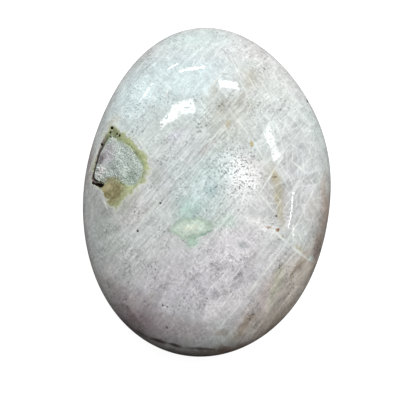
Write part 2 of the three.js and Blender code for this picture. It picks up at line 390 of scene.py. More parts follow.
def crust_bed(rings=24, steps=120):
    """The closed lumpy plate that carries the crystals."""
    angle = np.tile(np.linspace(-pi, pi, steps, endpoint=False), rings)
    share = np.repeat(np.linspace(1, 1 / rings, rings), steps)
    reach = crust_reach(angle) * share
    x = np.append(PIT_MIDDLE[0] + reach * np.cos(angle), PIT_MIDDLE[0])
    y = np.append(PIT_MIDDLE[1] + reach * np.sin(angle), PIT_MIDDLE[1])
    top = np.column_stack([x, y, crown_z(x, y) - crust_drop(x, y)])
    low = top - [0, 0, CRUST_DEPTH]
    centre = rings * steps
    faces = []
    for i in range(steps):
        j = (i + 1) % steps
        for ring in range(rings - 1):
            a, b = ring * steps + i, ring * steps + j
            faces += [(a, b, b + steps), (a, b + steps, a + steps)]
        faces.append((centre - steps + i, centre - steps + j, centre))
    faces = np.array(faces)
    below = faces[:, ::-1] + centre + 1
    edge = np.arange(steps)
    next_edge = (edge + 1) % steps
    side = np.vstack([
        np.column_stack([edge, edge + centre + 1, next_edge + centre + 1]),
        np.column_stack([edge, next_edge + centre + 1, next_edge]),
    ])
    return np.vstack([top, low]), np.vstack([faces, below, side])


def crystals_at(x, y, drop, radius, height, lean, random):
    """Closed six-sided crystals that stand on the crust, each leaning its own way."""
    count, sides = len(x), CRYSTAL_SIDES
    axis = crown_normal(x, y) + np.tan(radians(1) * lean)[:, None] * unit_vectors(count, random)
    axis /= np.linalg.norm(axis, axis=1)[:, None]
    across = np.cross(axis, unit_vectors(count, random))
    across /= np.linalg.norm(across, axis=1)[:, None]
    along = np.cross(axis, across)
    root = np.column_stack([x, y, crown_z(x, y) - drop]) - axis * CRYSTAL_ROOT
    turn = np.arange(sides) * 2 * pi / sides
    ring = across[:, None] * np.cos(turn)[:, None] + along[:, None] * np.sin(turn)[:, None]
    ring = ring * radius[:, None, None] * random.uniform(0.8, 1.15, (count, sides, 1))
    shoulder = CRYSTAL_ROOT + height * random.uniform(0.2, 0.5, count)
    tip = root + axis * (CRYSTAL_ROOT + height)[:, None]
    tip = tip + ring[:, 0] * random.uniform(-0.3, 0.3, (count, 1))
    low = root[:, None] + ring
    high = root[:, None] + ring * 0.92 + (axis * shoulder[:, None])[:, None]
    points = np.concatenate([low, high, tip[:, None], root[:, None]], axis=1)
    faces = []
    for i in range(sides):
        j = (i + 1) % sides
        faces += [(i, j, sides + j), (i, sides + j, sides + i)]
        faces += [(sides + i, sides + j, 2 * sides), (j, i, 2 * sides + 1)]
    all_faces = np.array(faces)[None] + (np.arange(count) * CRYSTAL_POINTS)[:, None, None]
    return points.reshape(-1, 3), all_faces.reshape(-1, 3)


def unit_vectors(count, random):
    """Random directions."""
    vectors = random.normal(size=(count, 3))
    return vectors / np.linalg.norm(vectors, axis=1)[:, None]


def make_crust():
    """The crust: fine crystals all over a lumpy bed, with some white lumps at lower left."""
    random = np.random.default_rng(SEED)
    xs = np.arange(*CRUST_X, CRYSTAL_SPACING)
    ys = np.arange(*CRUST_Y, CRYSTAL_SPACING)
    x, y = (grid.ravel() for grid in np.meshgrid(xs, ys))
    x, y = (v + random.uniform(-0.5, 0.5, v.shape) * CRYSTAL_SPACING for v in (x, y))
    offset_x, offset_y = x - PIT_MIDDLE[0], y - PIT_MIDDLE[1]
    angle = np.arctan2(offset_y, offset_x)
    inside = crust_reach(angle) - np.hypot(offset_x, offset_y)
    # Past the crust's edge the crystals thin out and stand on the pit's wall, if that is low
    thinned = random.uniform(0, 1, x.shape) < 1 + inside / CRUST_SPRINKLE
    keep = (inside > 0) | (thinned & (foot_drop(angle) < LOW_BANK_DROP))
    x, y, inside = x[keep], y[keep], inside[keep]
    growth = np.clip(0.6 + 0.5 * inside, 0.4, 1)
    fine = crystals_at(
        x, y, np.minimum(crust_drop(x, y), pit_drop(x, y)[0]),
        growth * random.uniform(*CRYSTAL_RADIUS, len(x)),
        growth * random.uniform(*CRYSTAL_HEIGHT, len(x)),
        CRYSTAL_LEAN * random.uniform(0, 1, len(x)), random,
    )
    lump_x = random.normal(LUMP_MIDDLE[0], LUMP_SPREAD[0], LUMP_COUNT)
    lump_y = random.normal(LUMP_MIDDLE[1], LUMP_SPREAD[1], LUMP_COUNT)
    lumps = crystals_at(
        lump_x, lump_y, crust_drop(lump_x, lump_y),
        random.uniform(*LUMP_RADIUS, LUMP_COUNT), random.uniform(*LUMP_HEIGHT, LUMP_COUNT),
        random.uniform(0, LUMP_LEAN, LUMP_COUNT), random,
    )
    points, faces, tones = [], [], []
    for part_points, part_faces in (crust_bed(), fine, lumps):
        faces.append(part_faces + sum(len(p) for p in points))
        points.append(part_points)
        own = random.uniform(0, 1, len(part_points) // CRYSTAL_POINTS + 1)
        tones.append(np.repeat(own, CRYSTAL_POINTS)[:len(part_points)])
    crust = mesh_piece("fine_druse", np.vstack(points), np.vstack(faces), smooth=False)
    add_measure(crust, "own_tone", np.concatenate(tones))
    offset_x, offset_y = (np.vstack(points)[:, :2] - PIT_MIDDLE).T
    edge = crust_reach(np.arctan2(offset_y, offset_x)) - np.hypot(offset_x, offset_y)
    add_measure(crust, "from_edge", edge)
    return crust


# Materials

STONE_IOR = 1.54
CRYSTAL_ROUGHNESS = 0.14


def tone(red, green, blue):
    """A display tone from 0 to 255 as a linear colour."""
    channels = [c / 255 for c in (red, green, blue)]
    return (*(c / 12.92 if c <= 0.04045 else ((c + 0.055) / 1.055) ** 2.4 for c in channels), 1)


class Graph:
    """One material's nodes, with short ways to add the kinds that it needs."""

    def __init__(self, name):
        self.material = bpy.data.materials.new(name)
        self.material.use_nodes = True
        self.tree = self.material.node_tree
        self.tree.nodes.clear()

    def add(self, kind, inputs, **settings):
        """Adds a node, and fills its inputs with values or with other nodes' outputs."""
        node = self.tree.nodes.new(kind)
        for name, value in settings.items():
            setattr(node, name, value)
        for name, value in inputs.items():
            if isinstance(value, bpy.types.NodeSocket):
                self.tree.links.new(value, node.inputs[name])
            else:
                node.inputs[name].default_value = value
        return node

    def place(self):
        """Where a point of the piece is, in millimetres."""
        here = self.add("ShaderNodeTexCoord", {}).outputs["Object"]
        return self.vector("SCALE", here, scale=1 / MM)

    def vector(self, operation, a, b=(0, 0, 0), scale=1.0):
        """One step of vector maths."""
        inputs = {0: a, "Scale": scale} if operation == "SCALE" else {0: a, 1: b}
        node = self.add("ShaderNodeVectorMath", inputs, operation=operation)
        return node.outputs["Value" if operation == "LENGTH" else "Vector"]

    def maths(self, operation, a, b=0.0):
        """One step of maths on numbers."""
        return self.add("ShaderNodeMath", {0: a, 1: b}, operation=operation).outputs[0]

    def mapped(self, place, middle=(0, 0, 0), turn=0, size=(1, 1, 1)):
        """A place as seen from a middle, along turned axes, in units of a size."""
        inputs = {"Vector": place, "Location": middle, "Rotation": (0, 0, radians(turn)), "Scale": size}
        return self.add("ShaderNodeMapping", inputs, vector_type="TEXTURE").outputs[0]

    def noise(self, place, size, detail=2.0, roughness=0.5):
        """Smooth noise around 0.5, with lumps of about this size."""
        inputs = {"Vector": place, "Scale": 1 / size, "Detail": detail, "Roughness": roughness}
        return self.add("ShaderNodeTexNoise", inputs)

    def ramp(self, value, start, end, low=0.0, high=1.0):
        """Turns a value from start to end smoothly into one from low to high."""
        inputs = {"Value": value, "From Min": start, "From Max": end, "To Min": low, "To Max": high}
        node = self.add("ShaderNodeMapRange", inputs, interpolation_type="SMOOTHSTEP")
        return node.outputs[0]

    def mix(self, share, a, b):
        """A colour that goes from a to b as the share goes from 0 to 1."""
        return self.add("ShaderNodeMix", {0: share, 6: a, 7: b}, data_type="RGBA").outputs[2]

    def mix_numbers(self, share, a, b):
        """A number that goes from a to b as the share goes from 0 to 1."""
        return self.add("ShaderNodeMix", {0: share, 2: a, 3: b}, data_type="FLOAT").outputs[0]

    def attribute(self, name):
        """A measure kept on the piece's points."""
        return self.add("ShaderNodeAttribute", {}, attribute_name=name).outputs["Fac"]

    def warped(self, place, size, strength):
        """A place moved about by noise, so that what is drawn there has frayed edges."""
        stir = self.noise(place, size, detail=3).outputs["Color"]
        stir = self.vector("SUBTRACT", stir, (0.5,) * 3)
        return self.vector("ADD", place, self.vector("SCALE", stir, scale=strength))

    def finish(self, surface):
        """Ends the material with its surface, and gives it back."""
        self.add("ShaderNodeOutputMaterial", {"Surface": surface})
        return self.material


# How deep patches and veins go from the crown, unless they say otherwise
PATCH_DEPTH = 9


class Spot(NamedTuple):
    """An egg with soft edges in the stone: its plan middle, half length, half width, and turn
    in degrees, how strong it is, the share of it that is soft edge, and its depth."""

    x: float
    y: float
    length: float
    width: float
    turn: float
    strength: float = 1
    edge: float = 0.7
    depth: float = PATCH_DEPTH


class Patch(NamedTuple):
    """A spot of another tone."""

    x: float
    y: float
    length: float
    width: float
    turn: float
    tone: tuple
    strength: float = 0.8
    edge: float = 0.7
    depth: float = PATCH_DEPTH


# Each patch lies over those before it
BROAD_PATCHES = (
    Patch(-5, 21, 19, 12, 0, (191, 209, 211), 0.8, 0.95),
    Patch(-14, 17, 13, 9, 48, (205, 220, 221), 0.8, 0.9),
    Patch(12, 18, 13, 12, -40, (202, 208, 205), 0.7, 0.9),
    Patch(9, 20.6, 6, 4.5, 60, (176, 177, 170), 0.6, 0.9),
    Patch(4, 12, 10, 6, 60, (180, 181, 172), 0.75, 0.9),
    Patch(18, 3, 15, 7, 100, (190, 192, 193), 0.75, 0.8),
    Patch(-5.5, 3, 15, 5, 47, (182, 190, 191), 0.6, 0.9),
    Patch(0, -1, 11, 8, 60, (187, 205, 204), 0.75, 0.9),
    Patch(-9, -15, 14, 9, 48, (191, 192, 191), 0.8, 0.9),
    Patch(-2, -20, 22, 12, 10, (201, 197, 203), 0.9, 0.9),
    Patch(5, -12, 12, 7, 20, (216, 212, 215), 0.8, 0.9),
    Patch(7, -3, 6, 5, 20, (214, 217, 216), 0.7, 0.9),
    Patch(-19, -8, 9, 4.5, 100, (162, 167, 164), 0.7, 0.9),
    Patch(-16.5, -3.5, 5.5, 3.6, 30, (146, 151, 138), 0.75, 0.9),
    Patch(15.5, -22, 17, 8, 50, (190, 182, 172), 0.9, 0.6),
    Patch(14, -27, 10, 5, 42, (160, 147, 133), 0.8, 0.9),
    Patch(22.5, -9, 14, 3, 74, (146, 132, 120), 0.85, 0.8),
    Patch(21, -5, 6, 4, 80, (182, 176, 173), 0.7, 0.9),
    Patch(-13, -25.5, 14, 6, -38, (138, 124, 129), 0.85, 0.95),
    Patch(3.2, -23, 7.5, 2.8, 36, (228, 225, 226), 0.85, 0.9),
    Patch(-5, -28, 9, 4, -8, (164, 153, 157), 0.7, 0.9),
    # These three darken the bottom rim: partly the stone's dark brown, partly painted shade where the
    # rim turns away from the light
    Patch(-14, -29, 11, 4.6, -45, (92, 79, 84), 0.85, 0.9, 7),
    Patch(-3, -34, 18, 7.5, -2, (100, 85, 84), 0.9, 0.9, 7),
    Patch(-3, -34, 16, 5, -2, (58, 44, 40), 0.9, 0.9, 5),
    Patch(-3, 29, 14, 5, 0, (192, 208, 205), 0.8, 0.9),
    Patch(-10, 0.3, 3.4, 2.5, 60, (168, 172, 168), 0.7, 0.9),
    Patch(-21, 0, 12, 3, 95, (168, 170, 168), 0.6, 0.9),
    Patch(-10.7, -7.6, 3, 2, 48, (180, 184, 182), 0.5, 0.9),
    Patch(10, -8, 4.4, 2.2, -20, (230, 230, 228), 0.8, 0.9),
    Patch(4, -15, 5, 2, 20, (224, 221, 223), 0.7, 0.9),
    Patch(-18, -11.5, 3.4, 2.6, 60, (196, 202, 198), 0.6, 0.9),
    Patch(15, -19.5, 4, 2, 50, (200, 192, 184), 0.6, 0.9),
    Patch(-13, 17, 6, 4, 50, (214, 229, 230), 0.7, 0.9),
    Patch(-5.8, 8.6, 3.2, 1.7, 46, (206, 206, 216), 0.6, 0.9),
    Patch(-3.2, 3.8, 3.6, 1.6, 48, (168, 172, 172), 0.6, 0.9),
    Patch(16, -4, 3, 1.8, 90, (178, 180, 182), 0.5, 0.9),
    Patch(19.8, 0, 3, 1.6, 90, (206, 206, 208), 0.5, 0.9),
    Patch(0.6, 15.4, 3.5, 2, 60, (188, 188, 180), 0.5, 0.9),
    Patch(-10.7, 19.5, 3.4, 2, 55, (182, 198, 196), 0.5, 0.9),
    Patch(17.3, 11.5, 4, 2.4, 110, (184, 190, 188), 0.5, 0.9),
    Patch(8.2, 23, 3.4, 2, -20, (184, 190, 186), 0.5, 0.9),
    Patch(-18, -19.2, 4, 1.6, -62, (158, 150, 150), 0.5, 0.9),
    # These two also darken the bottom rim: partly the stone's dark brown, partly painted shade
    Patch(-9, -31.4, 6, 1, -18, (66, 52, 50), 0.8, 0.9),
    Patch(7, -32.3, 13, 5.4, 12, (118, 100, 82), 0.9, 0.9, 7),
)
SMALL_PATCHES = (
    Patch(8.6, 20, 3.4, 1.1, 74, (168, 164, 150), 0.65, 0.9),
    Patch(1.9, 19.3, 1.4, 0.6, 60, (182, 180, 168), 0.5, 0.9),
    Patch(1.6, 17.3, 1.7, 1.3, 60, (168, 166, 156), 0.6),
    Patch(6.3, 16, 2.6, 1, 60, (166, 166, 156), 0.6),
    Patch(2.8, 14.3, 2.4, 1.3, 60, (168, 167, 156), 0.6),
    Patch(3.7, 10.8, 1.7, 0.7, 80, (172, 163, 136), 0.7),
    Patch(8.4, 7.1, 1.1, 0.5, 85, (172, 158, 106), 0.85),
    Patch(8, 14.6, 2, 1.2, 60, (184, 186, 176), 0.6),
    Patch(0, 6.4, 3.2, 1.1, 52, (168, 166, 165), 0.7),
    Patch(3.5, 21.2, 1, 0.25, -10, (150, 154, 152), 0.7),
    Patch(12, 1.8, 4.6, 2.2, 95, (176, 176, 166), 0.6, 0.9),
    Patch(13, 1.1, 2.4, 1.1, 92, (162, 152, 122), 0.8, 0.8),
    Patch(13.6, -4, 7.2, 1.4, 97, (172, 166, 140), 0.8, 0.9),
    Patch(13, -2.4, 2.4, 1, 94, (170, 164, 138), 0.6, 0.9),
    Patch(12.9, 0.8, 1, 0.22, 5, (118, 104, 76), 0.85),
    Patch(13, -6.7, 0.32, 0.3, 0, (84, 60, 44), 0.95, 0.5),
    Patch(13.3, -9.3, 0.6, 0.45, 40, (132, 92, 58), 0.9, 0.5),
    Patch(11.6, -8.8, 1, 0.25, -5, (160, 130, 98), 0.8),
    Patch(14.2, -10.4, 0.55, 0.3, -30, (150, 126, 86), 0.8),
    Patch(19.7, -14, 1, 0.8, 0, (210, 220, 216), 0.8),
    Patch(17.5, -12.8, 1.8, 0.5, -35, (184, 180, 156), 0.7),
    Patch(13.6, -18, 3.6, 1.2, 68, (182, 184, 164), 0.6, 0.9),
    Patch(18.3, -14.5, 2.8, 0.8, 60, (150, 136, 120), 0.55),
    Patch(10.5, -22.5, 10, 2.6, 50, (184, 175, 174), 0.7, 0.9),
    Patch(7.2, -27.2, 6, 1.4, 46, (144, 128, 108), 0.75, 0.9),
    Patch(12.9, -20, 6.5, 1.6, 70, (184, 184, 164), 0.7, 0.9),
    Patch(2.6, -28.6, 2.8, 0.9, 5, (144, 128, 112), 0.6, 0.9),
    Patch(2.6, -31.4, 5.5, 0.9, 0, (112, 94, 80), 0.75, 0.9),
    Patch(16.9, -16.6, 3.2, 0.6, 52, (138, 124, 108), 0.7),
    Patch(11.4, -20.2, 4, 0.6, 50, (190, 178, 172), 0.6),
    Patch(6.6, -12.4, 1.5, 1.2, 0, (164, 168, 171), 0.7),
    Patch(5.6, -18.6, 2.8, 1.7, 60, (168, 164, 168), 0.75),
    Patch(-7, -19, 4, 2.2, 40, (186, 182, 186), 0.5, 0.9),
    Patch(8.4, -15, 2.8, 1.6, 50, (182, 176, 176), 0.6, 0.9),
    Patch(-2, -18.2, 2.2, 0.8, 30, (164, 163, 167), 0.7),
    Patch(1.5, -16.4, 1.8, 1.2, 10, (192, 190, 192), 0.5),
    Patch(-10.3, -21.6, 2.4, 1, 50, (174, 166, 160), 0.6, 0.9),
    Patch(-13.4, -26.4, 2.2, 0.8, -45, (138, 124, 124), 0.5, 0.9),
    Patch(-14.5, -22.5, 4, 2.6, -50, (180, 174, 174), 0.5, 0.9),
    Patch(-14.5, -24.5, 3, 1, -50, (118, 104, 104), 0.6),
    Patch(-3.6, -5.4, 3.8, 2.6, 20, (168, 200, 190), 0.7, 0.9),
    Patch(4, -8, 3, 2, 10, (184, 204, 192), 0.6, 0.9),
    Patch(1.8, -8.8, 1.8, 1.6, 0, (176, 198, 184), 0.5, 0.9),
    Patch(-2.7, -12, 1.9, 1.5, 0, (154, 186, 164), 0.75, 0.8),
    Patch(-3, -9.1, 4.5, 2.9, 6, (150, 178, 154), 0.75, 0.35),
    Patch(-3.1, -9, 3.8, 2.3, 6, (194, 210, 196), 0.9, 0.4),
    Patch(-3.2, -9, 2, 1.1, 5, (214, 222, 206), 0.8),
    Patch(-1, -10.7, 1.5, 0.3, 35, (112, 150, 132), 0.7),
    Patch(-4.8, -3.6, 1.2, 0.7, 30, (150, 178, 176), 0.5),
    Patch(0.8, -1.8, 1.6, 1.3, 0, (158, 184, 184), 0.5),
    Patch(-18, 12, 2.4, 1.6, 40, (196, 190, 170), 0.5, 0.95),
    Patch(-22.6, 4.5, 6.5, 1, 82, (168, 156, 156), 0.7),
    Patch(23, -3, 10, 1.7, 94, (178, 158, 146), 0.65, 0.9),
    # Painted shade in the pinholes at these points
    Patch(-8.8, -4.4, 0.28, 0.28, 0, (70, 60, 62), 0.9, 0.5),
    Patch(-13.1, -9.5, 0.3, 0.3, 0, (74, 62, 66), 0.9, 0.5),
    Patch(-8.4, -23.4, 0.28, 0.25, 0, (70, 62, 60), 0.9, 0.5),
    Patch(-7.5, -23.7, 0.25, 0.2, 0, (84, 76, 74), 0.9, 0.5),
    Patch(-7.6, -27.4, 0.35, 0.25, 0, (90, 76, 78), 0.9, 0.5),
)


class Vein(NamedTuple):
    """A thin vein between two plan points, its width, and how strong it is."""

    start: tuple
    end: tuple
    width: float
    strength: float


PALE_VEIN = (232, 236, 230)
DARK_VEIN = (56, 42, 38)
# A vein's fading egg is this share of its length on each side of its middle
VEIN_REACH = 0.6
VEINS = (
    Vein((0.8, -29), (7.2, -22), 0.36, 0.75),
    Vein((5.6, -23.9), (15, -11.8), 0.4, 0.95),
    Vein((14.2, -13), (19.4, -3.4), 0.3, 0.8),
    Vein((18.4, -4.8), (23, 4), 0.3, 0.7),
    Vein((9.7, -2.9), (13.1, 3.1), 0.3, 0.9),
    Vein((12.6, 2.3), (14.9, 5.4), 0.26, 0.7),
    Vein((12, -8.8), (15.4, -11.9), 0.42, 0.85),
    Vein((15, -11.5), (19.8, -14.7), 0.5, 0.85),
    Vein((8.2, -0.2), (12.9, -6.4), 0.28, 0.75),
    Vein((13.9, -6.4), (18, 0.6), 0.24, 0.6),
    Vein((15.8, 4.4), (19.7, 1.3), 0.32, 0.85),
    Vein((19.3, 1.6), (21.4, -1.6), 0.24, 0.7),
    Vein((16.3, -3), (18.4, 3.2), 0.24, 0.6),
    Vein((18.2, 2.6), (20.6, 6.6), 0.22, 0.55),
    Vein((22.4, 4.3), (20.1, -1.4), 0.24, 0.6),
    Vein((15, 7.8), (18.3, 6.2), 0.22, 0.55),
    Vein((18.2, 6.6), (18.5, 0.4), 0.22, 0.5),
    Vein((15.5, 16.6), (20.2, 11.9), 0.24, 0.5),
    Vein((13.9, 11.8), (17.2, 15.4), 0.22, 0.45),
    Vein((8.4, 8.6), (10.8, 3.8), 0.24, 0.55),
    Vein((3, 15.4), (10.1, 6), 0.22, 0.4),
    Vein((-0.2, 17), (5, 24.2), 0.3, 0.5),
    Vein((-3.4, 13.4), (2.8, 19.4), 0.26, 0.4),
    Vein((16.6, -8.6), (18.8, -12.4), 0.26, 0.6),
    Vein((19.4, -2), (22.3, -6.4), 0.24, 0.5),
    Vein((4, -19.4), (6.6, -16), 0.26, 0.5),
    Vein((6.4, -16), (7.8, -20.8), 0.24, 0.45),
    Vein((-7.2, 5.8), (-2, 2), 0.3, 0.5),
    Vein((-5.4, 0.8), (-1.6, 6.4), 0.3, 0.45),
    Vein((0.6, 10), (4.4, 13.6), 0.26, 0.5),
    Vein((-16, -12), (-5, 0.6), 0.4, 0.35),
    Vein((-12.4, 2.6), (-8.2, 7.4), 0.36, 0.45),
    Vein((-13.8, 9.3), (-10.6, 4.2), 0.32, 0.7),
    Vein((-20.4, -1.8), (-18.6, -5.6), 0.3, 0.7),
    Vein((-20.7, 8.5), (-22.5, 2.5), 0.3, 0.6),
    Vein((-21.6, 7.5), (-23, 1.5), 0.26, 0.5),
)
DARK_VEINS = (
    Vein((-21.3, 8.6), (-22.9, 3.4), 0.2, 0.35),
    Vein((-13.8, -27.5), (-10.8, -29.3), 0.34, 0.6),
    Vein((-11.6, -28.9), (-6.7, -30.4), 0.5, 0.9),
    Vein((-7.8, -30.1), (-4.4, -31), 0.44, 0.9),
    Vein((-4.8, -31), (3, -31.5), 0.36, 0.7),
)


class Scatter(NamedTuple):
    """Straight fine veins strewn about a plan point: how far along X and Y, how many, and the
    turns in degrees that they keep near to."""

    x: float
    y: float
    spread_x: float
    spread_y: float
    count: int
    turns: tuple


SCATTERS = (
    Scatter(17, 4, 4.5, 9, 44, (60, 118, 35, 84)),
    Scatter(4, 22, 10, 6, 26, (62, 112, 48)),
    Scatter(-12, 16, 6, 7, 14, (58, 66)),
    Scatter(2, 2, 7, 8, 22, (50, 128, 70)),
    Scatter(2, -19, 9, 6, 20, (50, 110, 30)),
)


def strewn_veins():
    """Fine straight veins at seeded random places."""
    random = np.random.default_rng(SEED)
    veins = []
    for scatter in SCATTERS:
        for i in range(scatter.count):
            x = scatter.x + scatter.spread_x * random.uniform(-1, 1)
            y = scatter.y + scatter.spread_y * random.uniform(-1, 1)
            turn = radians(scatter.turns[i % len(scatter.turns)] + random.normal(0, 7))
            half = random.uniform(1.2, 4)
            reach = (half * cos(turn), half * sin(turn))
            ends = (x - reach[0], y - reach[1]), (x + reach[0], y + reach[1])
            veins.append(Vein(*ends, random.uniform(0.14, 0.24), random.uniform(0.2, 0.6)))
    return veins


def threads(graph, place, size, thin, turn=0, stretch=1.0):
    """Curling threads where fractal noise is near its middle value, drawn out along a turn."""
    stretched = graph.mapped(place, turn=turn, size=(size * stretch, size, size * 1.5))
    value = graph.noise(stretched, 1, 4, 0.55).outputs["Fac"]
    off = graph.maths("ABSOLUTE", graph.maths("SUBTRACT", value, 0.5))
    return graph.ramp(off, thin, 0)


def nearness(graph, place, x, y, turn, length, width, depth=PATCH_DEPTH):
    """How near a point is to the middle of an egg under a plan point: 1 there, 0 at its edge."""
    egg = graph.mapped(place, (x, y, crown_z(x, y)), turn, (length, width, depth))
    return graph.add("ShaderNodeTexGradient", {"Vector": egg}, gradient_type="SPHERICAL").outputs["Fac"]


def region(graph, place, spot):
    """How far inside a spot a point is, from 0 at its edge to the spot's strength."""
    near = nearness(graph, place, spot.x, spot.y, spot.turn, spot.length, spot.width, spot.depth)
    return graph.ramp(near, 0, spot.edge, 0, spot.strength)


def painted(graph, colour, place, patch):
    """Lays one patch over a colour."""
    return graph.mix(region(graph, place, patch), colour, tone(*patch.tone))


def veined(graph, share, place, vein):
    """Adds one vein to the share of vein at each point."""
    (x0, y0), (x1, y1) = vein.start, vein.end
    x, y = (x0 + x1) / 2, (y0 + y1) / 2
    turn = degrees(atan2(y1 - y0, x1 - x0))
    near = nearness(graph, place, x, y, turn, hypot(x1 - x0, y1 - y0) * VEIN_REACH, vein.width)
    return graph.maths("MAXIMUM", share, graph.ramp(near, 0, 0.8, 0, vein.strength))


def streaks(graph, place, turn, length, width, detail=3.0):
    """Noise drawn out along one direction of the plan."""
    stretched = graph.mapped(place, turn=turn, size=(length, width, width * 3))
    return graph.noise(stretched, 1, detail, 0.6).outputs["Fac"]


def scaled(graph, share, by):
    """A share times another number."""
    return graph.maths("MULTIPLY", share, by)


def make_stone_material():
    """Polished stone: patches of tone under streaks, plates, threads, mottling and veins."""
    graph = Graph("polished_stone")
    here = graph.place()
    frayed = graph.warped(graph.warped(here, 4, 3.2), 0.9, 0.9)
    trembling = graph.warped(here, 2.5, 0.7)
    steady = graph.warped(here, 3, 0.4)

    broad = graph.noise(here, 17, 2).outputs["Fac"]
    colour = graph.mix(graph.ramp(broad, 0.35, 0.65), tone(193, 201, 198), tone(199, 197, 197))
    for patch in BROAD_PATCHES:
        colour = painted(graph, colour, frayed, patch)
    for patch in SMALL_PATCHES:
        colour = painted(graph, colour, frayed if patch.length > 1.2 else trembling, patch)

    # How light the stone is: cloudy lumps, slanting plates, streaks along the grain, threads
    patchy = graph.noise(here, 6, 3).outputs["Fac"]
    cloud = graph.noise(frayed, 2.6, 4, 0.6).outputs["Fac"]
    light = graph.ramp(cloud, 0.3, 0.7, -0.14, 0.09)

    plated = region(graph, here, Spot(16, 2, 19, 9.5, 100, 1, 0.6))
    slanted = graph.mapped(trembling, turn=62, size=(4.6, 2.4, 3.5))
    cells = graph.add("ShaderNodeTexVoronoi", {"Vector": slanted, "Scale": 1.0})
    edges = graph.add(
        "ShaderNodeTexVoronoi", {"Vector": slanted, "Scale": 1.0}, feature="DISTANCE_TO_EDGE",
    )
    own = graph.add("ShaderNodeSeparateColor", {0: cells.outputs["Color"]}).outputs[0]
    plate = graph.ramp(own, 0, 1, -0.12, 0.08)
    plate = graph.maths("ADD", plate, graph.ramp(edges.outputs["Distance"], 0.07, 0.01, 0, 0.2))
    light = graph.maths("ADD", light, scaled(graph, plated, plate))

    left = region(graph, frayed, Spot(-13, -9, 17, 9, 55, 0.9, 0.6))
    band = region(graph, frayed, Spot(-1, 8, 22, 5.5, 52, 1, 0.5))
    grained = graph.maths("MAXIMUM", left, band)
    grained = graph.maths("MAXIMUM", graph.ramp(patchy, 0.42, 0.62, 0.15, 0.6), grained)
    grain = graph.ramp(streaks(graph, trembling, 48, 11, 0.45), 0.33, 0.67, -0.13, 0.17)
    light = graph.maths("ADD", light, scaled(graph, grained, grain))
    ropes = region(graph, here, Spot(16, -21, 18, 8, 50, 1, 0.4))
    rope = streaks(graph, trembling, 54, 9, 0.8)
    light = graph.maths("ADD", light, scaled(graph, ropes, graph.ramp(rope, 0.35, 0.65, -0.2, 0.2)))

    for strands, strength in (
        (threads(graph, trembling, 1, 0.05, 54, 9), graph.ramp(patchy, 0.35, 0.6, 0.05, 0.2)),
        (threads(graph, trembling, 1.1, 0.04, -52, 9), graph.ramp(patchy, 0.65, 0.4, 0.03, 0.2)),
        (threads(graph, frayed, 1.9, 0.04), graph.ramp(plated, 0, 1, 0.1, 0.02)),
    ):
        light = graph.maths("ADD", light, scaled(graph, strands, strength))

    # Fine mottling, pale flecks and dark specks, thick in some places and thin in others
    where = graph.noise(here, 3.4, 2).outputs["Fac"]
    fine = graph.noise(here, 0.45, 4, 0.8).outputs["Fac"]
    mottled = graph.ramp(fine, 0.3, 0.7, -0.25, 0.15)
    mottled = scaled(graph, mottled, graph.ramp(where, 0.35, 0.65, 0.45, 1))
    mottled = scaled(graph, mottled, graph.ramp(plated, 0, 1, 1, 0.5))
    lilac = region(graph, here, Spot(2, -18, 15, 8, 15, 1, 0.6))
    blotted = graph.ramp(graph.noise(here, 0.9, 4, 0.7).outputs["Fac"], 0.32, 0.68, -0.1, 0.08)
    strokes = scaled(graph, threads(graph, frayed, 1.1, 0.05), -0.16)
    mottled = graph.maths("ADD", mottled, scaled(graph, lilac, graph.maths("ADD", blotted, strokes)))
    light = graph.maths("ADD", light, mottled)
    specks = graph.noise(here, 0.4, 2, 0.5).outputs["Fac"]
    calm = region(graph, here, Spot(-1, 21.5, 12, 6, -5, 0.12, 0.4))
    specks = graph.maths("SUBTRACT", specks, calm)
    middle = region(graph, here, Spot(4, 1, 14, 12, 60, 0.8, 0.8))
    speckled = graph.maths("MAXIMUM", graph.ramp(where, 0.45, 0.65, 0.15, 1), middle)
    speckled = scaled(graph, speckled, graph.ramp(plated, 0, 1, 1, 0.6))
    pitted = region(graph, here, Spot(6, 1.5, 8, 6.5, 20, 1, 0.5))
    pricked = region(graph, here, Spot(-6.5, 11.5, 5, 1.3, 46, 1, 0.5))
    pits = graph.maths("ADD", specks, scaled(graph, graph.maths("MAXIMUM", pitted, pricked), 0.04))
    light = graph.maths("ADD", light, scaled(graph, speckled, graph.ramp(pits, 0.58, 0.65, 0, -0.5)))
    colour = graph.vector("SCALE", colour, scale=graph.maths("ADD", light, 1))

    share = 0.0
    for vein in (*VEINS, *strewn_veins()):
        share = veined(graph, share, steady, vein)
    broken = graph.noise(here, 1.1, 3).outputs["Fac"]
    share = scaled(graph, share, graph.ramp(broken, 0.35, 0.6, 0.45, 1))
    colour = graph.mix(share, colour, tone(*PALE_VEIN))
    share = 0.0
    for vein in DARK_VEINS:
        share = veined(graph, share, steady, vein)
    colour = graph.mix(share, colour, tone(*DARK_VEIN))

    colour = pit_colour(graph, colour, here, frayed)

    wall = graph.attribute("wall")
    polish = graph.ramp(pitted, 0, 1, 0.05, 0.17)
    polish = graph.maths("ADD", polish, graph.ramp(specks, 0.57, 0.63, 0, 0.4))
    roughness = graph.mix_numbers(graph.ramp(wall, 0, 0.2), polish, 0.42)
    gloss = graph.ramp(pits, 0.57, 0.63, 0.5, 0.05)
    height = graph.maths("SUBTRACT", scaled(graph, fine, 0.3), graph.ramp(specks, 0.55, 0.7))
    rough = graph.ramp(pitted, 0, 1, 0.05, 0.2)
    bump = graph.add("ShaderNodeBump", {"Height": height, "Strength": rough, "Distance": 0.02 * MM})
    shader = graph.add("ShaderNodeBsdfPrincipled", {
        "Base Color": colour, "Roughness": roughness, "IOR": STONE_IOR, "Normal": bump.outputs[0],
        "Specular IOR Level": gloss,
    })
    return graph.finish(shader.outputs[0])


